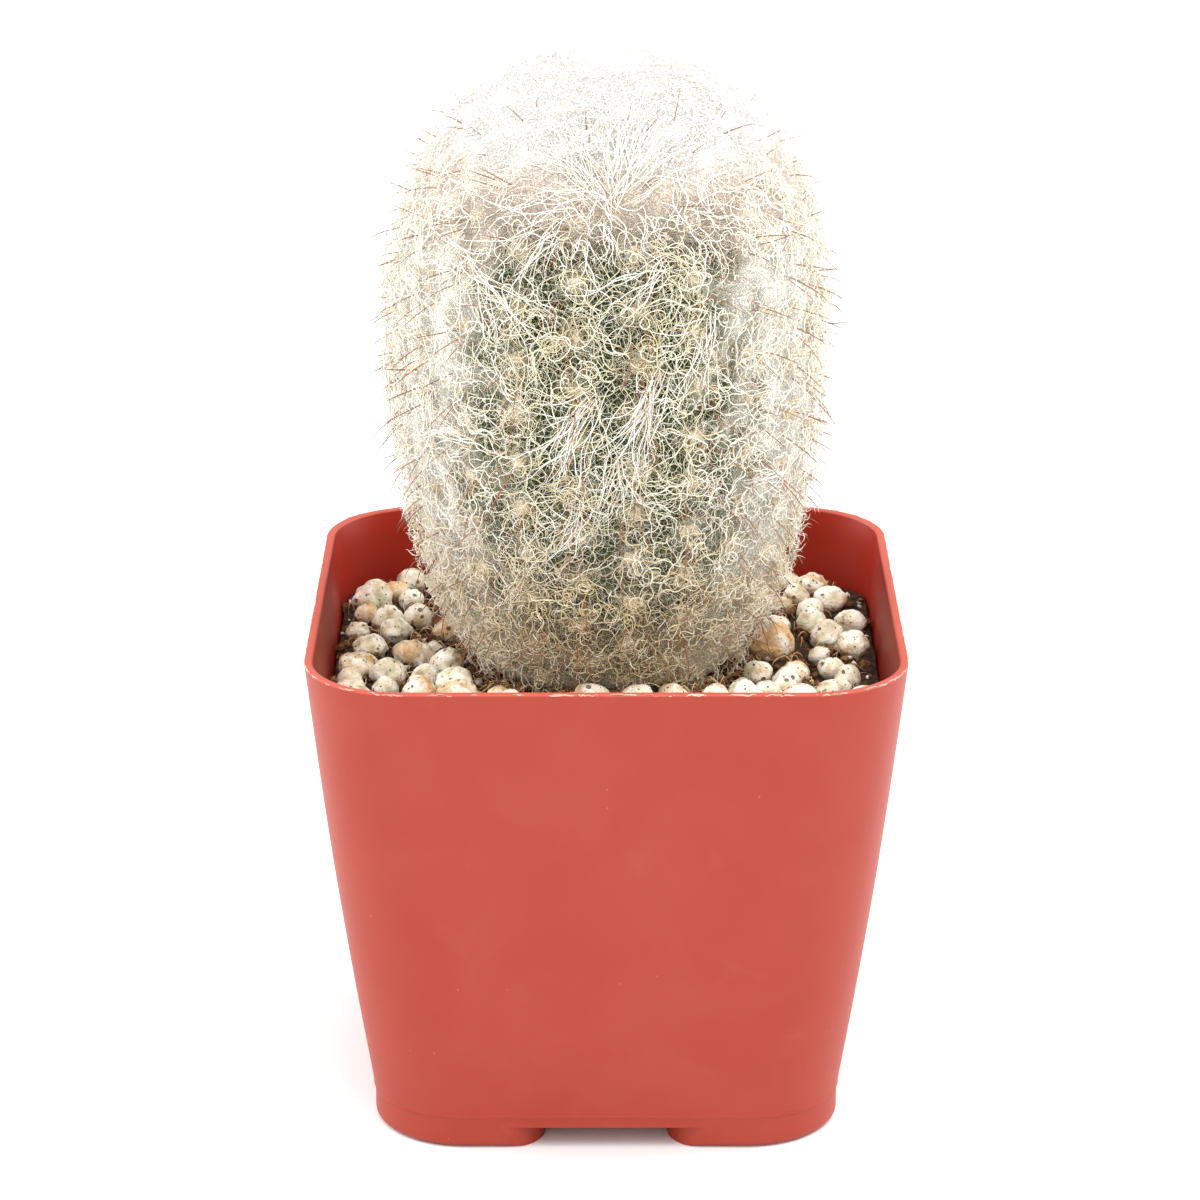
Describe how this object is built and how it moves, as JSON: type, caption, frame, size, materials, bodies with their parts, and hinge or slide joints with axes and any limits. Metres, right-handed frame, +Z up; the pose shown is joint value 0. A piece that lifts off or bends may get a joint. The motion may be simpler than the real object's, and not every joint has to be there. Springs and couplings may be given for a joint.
{
  "type": "potted peruvian old lady cactus",
  "caption": "Club-shaped columnar cactus in dense white wool with thin red-brown spines, in pebble-topped soil in a tapered square plastic nursery pot.",
  "frame": {"origin": "middle of the pot's square footprint, on the plane of its feet's undersides", "axes": "+Z up along the stem, +X and +Y square to the pot's walls, the front of the picture at -Y"},
  "size_m": [0.0634, 0.0634, 0.1166],
  "materials": {
    "pot_plastic": "satin moulded, terracotta red, lightly scuffed",
    "soil": "dark brown, fibrous, with cream pebbles on top",
    "cactus_wool": "matte, cream-white wool over green skin"
  },
  "bodies": {
    "root": {"pot": "pot_plastic", "soil": "soil", "cactus": "cactus_wool"}
  },
  "joints": []
}
